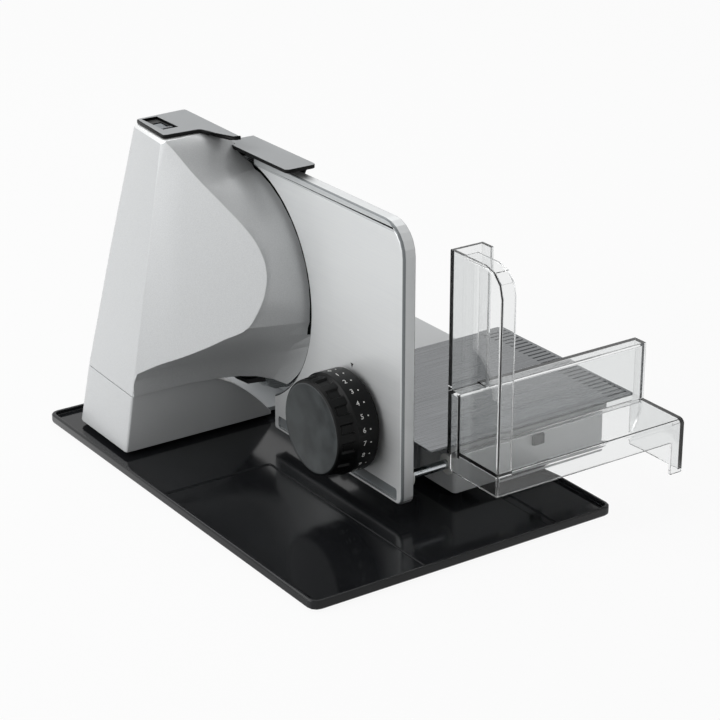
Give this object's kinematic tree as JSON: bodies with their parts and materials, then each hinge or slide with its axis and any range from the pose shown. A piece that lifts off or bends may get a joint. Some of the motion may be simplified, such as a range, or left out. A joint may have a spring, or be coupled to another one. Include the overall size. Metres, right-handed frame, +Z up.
{
  "type": "food slicer",
  "caption": "Electric food slicer on a tray: round blade beside a sculpted motor housing, a sliding stop plate with a thickness knob, and a clear food carriage on a rail.",
  "frame": {"origin": "middle of the whole object's footprint, on the surface that it stands on", "axes": "+X to the right, towards the carriage, along the blade's axis; +Y to the back, the way the carriage is pushed; +Z up"},
  "size_m": [0.3026, 0.354, 0.2304],
  "materials": {
    "silver_paint": "satin silver paint",
    "plate_silver": "satin silver, fine grain",
    "anthracite": "satin anthracite plastic",
    "gloss_black": "high gloss black plastic",
    "matte_black": "fine matte black plastic",
    "grey_plastic": "matte grey plastic",
    "white_plastic": "smooth white plastic",
    "clear_plastic": "clear polished moulding",
    "polished_steel": "polished steel with fine turned lines",
    "sheet_steel": "dark brushed steel sheet",
    "cast_metal": "grey cast and machined metal",
    "gear_plastic": "natural nylon",
    "black_rubber": "soft black rubber"
  },
  "bodies": {
    "machine": {"tray": "gloss_black", "tray_foot_1": "black_rubber", "tray_foot_2": "black_rubber", "tray_foot_3": "black_rubber", "tray_foot_4": "black_rubber", "housing_tower": "silver_paint", "housing_base": "silver_paint", "cable_gland": "black_rubber", "carriage_base": "silver_paint", "floor_plate": "anthracite", "front_buffer": "matte_black", "machine_foot_1": "black_rubber", "machine_foot_2": "black_rubber", "machine_foot_3": "black_rubber", "machine_foot_4": "black_rubber", "top_cover": "anthracite", "switch_body": "matte_black", "blade_lid": "anthracite", "blade_carrier": "matte_black", "axle_bearing": "cast_metal", "motor_can": "cast_metal", "motor_cradle": "matte_black", "front_guide_bush": "white_plastic", "rear_guide_bush": "white_plastic", "spindle_bracket": "cast_metal", "guide_rail": "polished_steel", "front_rail_mount": "cast_metal", "rear_rail_mount": "cast_metal"},
    "blade_wheel": {"blade": "polished_steel", "blade_lock": "matte_black", "blade_axle": "polished_steel", "drive_gear": "gear_plastic"},
    "worm_drive": {"worm_shaft": "polished_steel"},
    "slice_stop": {"stop_plate": "plate_silver", "front_rod": "polished_steel", "rear_rod": "polished_steel", "front_rod_ferrule": "white_plastic", "rear_rod_ferrule": "white_plastic", "knob_collar": "matte_black"},
    "thickness_knob": {"knob": "matte_black", "knob_spindle": "polished_steel"},
    "food_carriage": {"carriage_sheet": "sheet_steel", "carriage_frame": "silver_paint", "carriage_guard": "clear_plastic", "front_rail_shoe": "white_plastic", "rear_rail_shoe": "white_plastic", "front_roller_pin": "polished_steel", "rear_roller_pin": "polished_steel"},
    "front_wheel": {"front_roller": "white_plastic"},
    "rear_wheel": {"rear_roller": "white_plastic"},
    "switch": {"switch_rocker": "grey_plastic"}
  },
  "joints": [
    {"name": "blade_spin", "type": "hinge", "parent": "machine", "child": "blade_wheel", "pos_m": [-0.02825, 0.084, 0.12], "axis": [1, 0, 0], "continuous": true},
    {"name": "motor_spin", "type": "hinge", "parent": "machine", "child": "worm_drive", "pos_m": [-0.06725, 0.131, 0.12], "axis": [0, 0, 1], "continuous": true},
    {"name": "plate_slide", "type": "slide", "parent": "machine", "child": "slice_stop", "axis": [1, 0, 0], "range_m": [-0.02, 0]},
    {"name": "knob_turn", "type": "hinge", "parent": "slice_stop", "child": "thickness_knob", "pos_m": [-0.02825, -0.057, 0.0617], "axis": [1, 0, 0], "range_deg": [-300.01, 0]},
    {"name": "carriage_slide", "type": "slide", "parent": "machine", "child": "food_carriage", "axis": [0, 1, 0], "range_m": [0, 0.18]},
    {"name": "front_roller_spin", "type": "hinge", "parent": "food_carriage", "child": "front_wheel", "pos_m": [0.11875, -0.092, 0.0443], "axis": [1, 0, 0], "range_deg": [-2063, 0]},
    {"name": "rear_roller_spin", "type": "hinge", "parent": "food_carriage", "child": "rear_wheel", "pos_m": [0.11875, -0.037, 0.0443], "axis": [1, 0, 0], "range_deg": [-2063, 0]},
    {"name": "switch_tilt", "type": "hinge", "parent": "machine", "child": "switch", "pos_m": [-0.08025, 0.1175, 0.2218], "axis": [1, 0, 0], "range_deg": [0, 14]}
  ],
  "couplings": [
    {"joint": "motor_spin", "follows": "blade_spin", "ratio": -38},
    {"joint": "knob_turn", "follows": "plate_slide", "rad_per_m": 261.8},
    {"joint": "front_roller_spin", "follows": "carriage_slide", "rad_per_m": -200},
    {"joint": "rear_roller_spin", "follows": "carriage_slide", "rad_per_m": -200}
  ]
}
